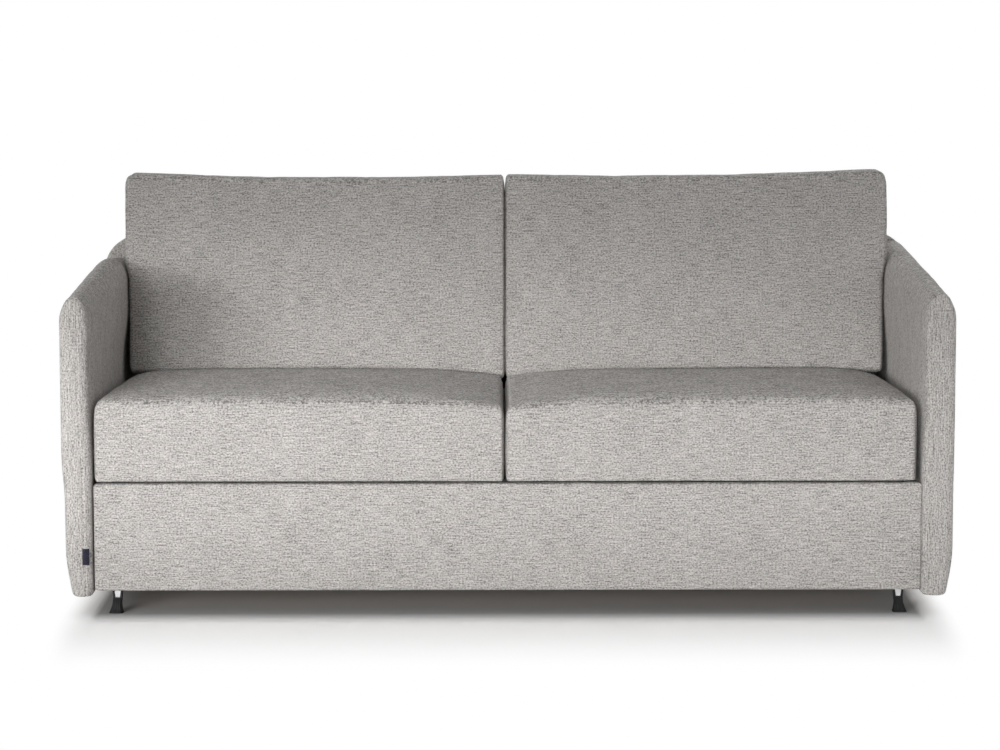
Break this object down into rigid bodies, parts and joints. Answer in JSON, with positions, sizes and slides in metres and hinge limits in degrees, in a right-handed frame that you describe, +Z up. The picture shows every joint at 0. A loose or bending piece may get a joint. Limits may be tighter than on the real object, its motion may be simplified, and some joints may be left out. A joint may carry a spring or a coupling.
{
  "type": "sleeper sofa",
  "caption": "Slim-armed upholstered sofa with seat and back cushions that roll forward over the front panel and unfold into a flat bed on lift links.",
  "frame": {"origin": "on the floor under the middle of the sofa's outer box, with the bed folded away", "axes": "+X to the right as seen from the front, +Y to the rear, so the seat faces -Y, +Z up"},
  "size_m": [1.9, 0.96, 0.9043],
  "materials": {
    "upholstery": "matte",
    "ticking": "matte",
    "plywood": "matte",
    "slats": "satin",
    "frame_steel": "satin",
    "bright_steel": "satin",
    "foot_plastic": "satin"
  },
  "bodies": {
    "base": {"left_arm_cover": "upholstery", "right_arm_cover": "upholstery", "left_arm_board": "plywood", "right_arm_board": "plywood", "rear_shell_cover": "upholstery", "rear_shell_board": "plywood", "front_panel_cover": "upholstery", "front_panel_board": "plywood", "left_base_rail": "frame_steel", "right_base_rail": "frame_steel", "base_front_tube": "bright_steel", "base_rear_tube": "bright_steel", "front_left_foot": "foot_plastic", "front_right_foot": "foot_plastic", "rear_left_foot": "foot_plastic", "rear_right_foot": "foot_plastic", "front_left_pivot_block": "frame_steel", "front_right_pivot_block": "frame_steel", "rear_left_pivot_block": "frame_steel", "rear_right_pivot_block": "frame_steel"},
    "front_links": {"front_left_link": "frame_steel", "front_right_link": "frame_steel"},
    "rear_links": {"rear_left_link": "frame_steel", "rear_right_link": "frame_steel"},
    "head_section": {"left_head_rail": "frame_steel", "right_head_rail": "frame_steel", "head_front_bar": "frame_steel", "head_rear_bar": "frame_steel", "head_slats": "slats", "mattress_head": "ticking", "front_left_link_pin": "bright_steel", "front_right_link_pin": "bright_steel", "rear_left_link_pin": "bright_steel", "rear_right_link_pin": "bright_steel"},
    "seat_section": {"left_seat_rail": "frame_steel", "right_seat_rail": "frame_steel", "seat_front_bar": "frame_steel", "seat_rear_bar": "frame_steel", "seat_slats": "slats", "mattress_middle": "ticking", "left_seat_cushion": "upholstery", "right_seat_cushion": "upholstery", "left_fold_pin": "bright_steel", "right_fold_pin": "bright_steel"},
    "back_section": {"left_back_rail": "frame_steel", "right_back_rail": "frame_steel", "back_end_bar": "frame_steel", "leg_hinge_bar": "frame_steel", "back_slats": "slats", "mattress_foot": "ticking", "left_back_cushion": "upholstery", "right_back_cushion": "upholstery", "left_hinge_pin": "bright_steel", "right_hinge_pin": "bright_steel"},
    "left_support_leg": {"left_leg": "frame_steel", "left_leg_cap": "foot_plastic"},
    "right_support_leg": {"right_leg": "frame_steel", "right_leg_cap": "foot_plastic"}
  },
  "joints": [
    {"name": "main_fold", "type": "hinge", "parent": "head_section", "child": "seat_section", "pos_m": [0, -0.405, 0.17], "axis": [1, 0, 0], "range_deg": [0, 180]},
    {"name": "front_lift", "type": "hinge", "parent": "base", "child": "front_links", "pos_m": [0, -0.31383, 0.17972], "axis": [1, 0, 0], "range_deg": [0, 122.5]},
    {"name": "rear_lift", "type": "hinge", "parent": "base", "child": "rear_links", "pos_m": [0, 0.13617, 0.17972], "axis": [1, 0, 0], "range_deg": [0, 122.5]},
    {"name": "head_level", "type": "hinge", "parent": "front_links", "child": "head_section", "pos_m": [0, -0.15, 0.065], "axis": [1, 0, 0], "range_deg": [-122.5, 0]},
    {"name": "back_unfold", "type": "hinge", "parent": "seat_section", "child": "back_section", "pos_m": [0, 0.285, 0.275], "axis": [1, 0, 0], "range_deg": [-90, 0]},
    {"name": "left_leg_swing", "type": "hinge", "parent": "back_section", "child": "left_support_leg", "pos_m": [-0.79, 0.26, 0.415], "axis": [0, 0, 1], "range_deg": [-90, 0]},
    {"name": "right_leg_swing", "type": "hinge", "parent": "back_section", "child": "right_support_leg", "pos_m": [0.79, 0.26, 0.415], "axis": [0, 0, 1], "range_deg": [0, 90]}
  ],
  "couplings": [
    {"joint": "front_lift", "follows": "main_fold", "ratio": 0.68056},
    {"joint": "rear_lift", "follows": "main_fold", "ratio": 0.68056},
    {"joint": "head_level", "follows": "main_fold", "ratio": -0.68056},
    {"joint": "back_unfold", "follows": "main_fold", "ratio": -0.5},
    {"joint": "left_leg_swing", "follows": "main_fold", "ratio": -0.5},
    {"joint": "right_leg_swing", "follows": "main_fold", "ratio": 0.5}
  ]
}
